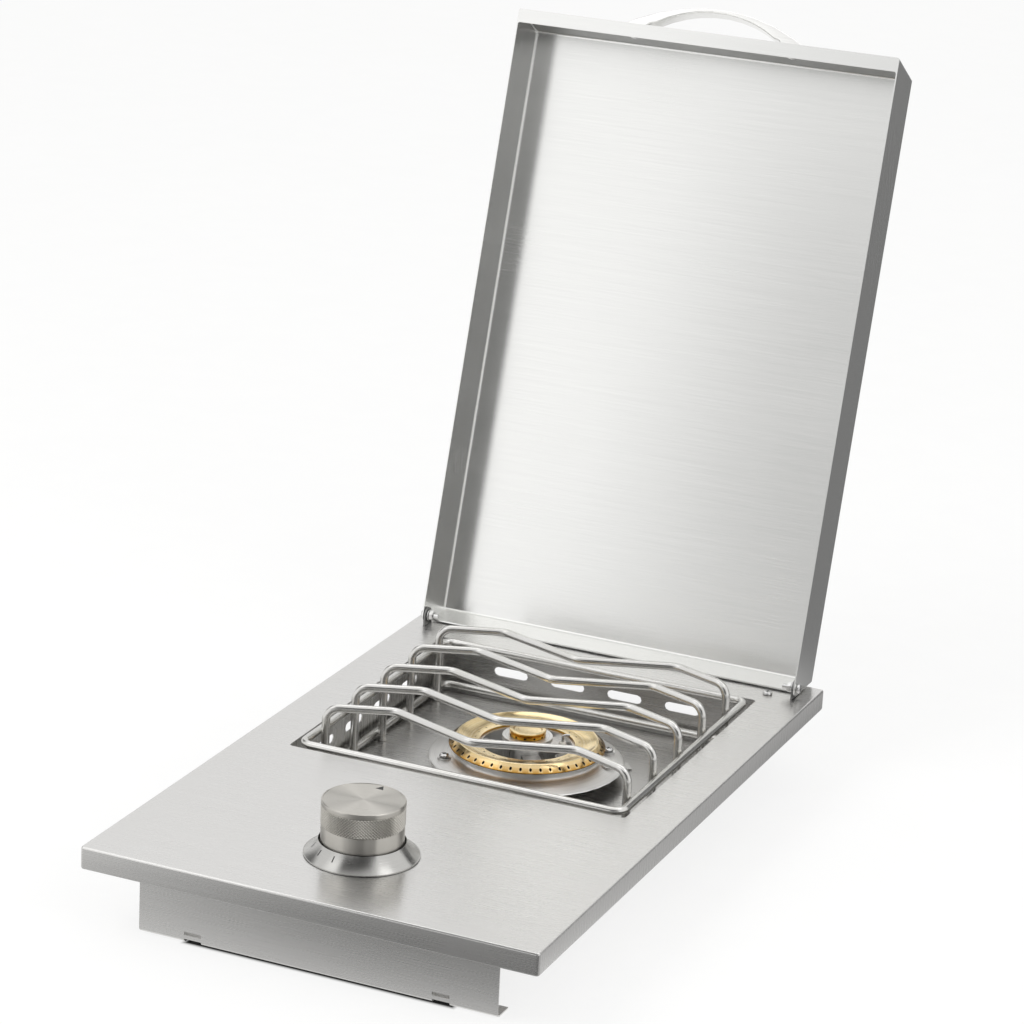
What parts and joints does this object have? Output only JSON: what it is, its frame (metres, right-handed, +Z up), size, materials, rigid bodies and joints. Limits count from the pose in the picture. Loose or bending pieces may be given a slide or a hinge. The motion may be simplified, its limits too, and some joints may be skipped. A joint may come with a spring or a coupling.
{
  "type": "built in side burner",
  "caption": "Drop-in gas side burner: folded steel panel and tub, bent-wire grate, brass ring burner, knurled valve knob and a hinged lid with a bow handle.",
  "frame": {"origin": "middle of the front lip's underside, where the burner's edge rests on the worktop", "axes": "+Z up from the worktop, +Y from the knob to the lid's hinge at the back, +X to the right of someone who stands at the knob"},
  "size_m": [0.33, 0.6649, 0.5378],
  "materials": {
    "brushed_steel": "brushed stainless sheet, fine straight grain",
    "polished_steel": "satin polished stainless",
    "wire_steel": "electropolished stainless wire",
    "screw_steel": "bright stainless fasteners",
    "satin_nickel": "satin nickel plated, turned and knurled",
    "cast_aluminium": "machined bright casting",
    "brass": "machined brass",
    "ceramic": "pale glazed igniter ceramic"
  },
  "bodies": {
    "root": {"top_panel": "brushed_steel", "burner_tub": "brushed_steel", "front_apron": "brushed_steel", "hinge_bracket_left": "brushed_steel", "hinge_bracket_right": "brushed_steel", "hinge_bolt_left": "screw_steel", "hinge_bolt_right": "screw_steel", "hinge_washer_left": "screw_steel", "hinge_washer_right": "screw_steel", "hinge_nut_left": "screw_steel", "hinge_nut_right": "screw_steel", "hinge_foot_screw_left": "screw_steel", "hinge_foot_screw_right": "screw_steel", "knob_bezel": "satin_nickel", "valve_body": "brass", "valve_screw_left": "screw_steel", "valve_screw_right": "screw_steel", "gas_inlet_fitting": "brass", "gas_orifice": "brass", "mixer_tube": "polished_steel", "burner_base": "cast_aluminium", "burner_ring": "brass", "burner_cap": "brass", "igniter_ceramic": "ceramic", "igniter_electrode": "screw_steel", "burner_bracket_left": "brushed_steel", "burner_bracket_right": "brushed_steel", "burner_screw_left": "screw_steel", "burner_screw_right": "screw_steel", "grate_upper_frame": "wire_steel", "grate_lower_frame": "wire_steel", "grate_bar_1": "wire_steel", "grate_bar_2": "wire_steel", "grate_bar_3": "wire_steel", "grate_bar_4": "wire_steel", "grate_bar_5": "wire_steel"},
    "lid": {"lid_shell": "brushed_steel", "lid_handle": "polished_steel", "lid_handle_screw_left": "screw_steel", "lid_handle_screw_right": "screw_steel"},
    "push_collar": {"stem_collar": "screw_steel"},
    "knob": {"control_knob": "satin_nickel", "valve_stem": "screw_steel"},
    "shutter": {"air_shutter": "screw_steel"}
  },
  "joints": [
    {"name": "lid_hinge", "type": "hinge", "parent": "root", "child": "lid", "pos_m": [0, 0.4995, 0.0236], "axis": [1, 0, 0], "range_deg": [0, 106]},
    {"name": "knob_push", "type": "slide", "parent": "root", "child": "push_collar", "axis": [0, 0, -1], "range_m": [0, 0.003], "stiffness_N_per_m": 1500, "springref_m": -0.004},
    {"name": "knob_turn", "type": "hinge", "parent": "push_collar", "child": "knob", "pos_m": [0, 0.079, 0.03], "axis": [0, 0, 1], "range_deg": [0, 170]},
    {"name": "air_shutter_turn", "type": "hinge", "parent": "root", "child": "shutter", "pos_m": [0, 0.1146, -0.0345], "axis": [0, 1, 0], "range_deg": [-30, 30]}
  ]
}
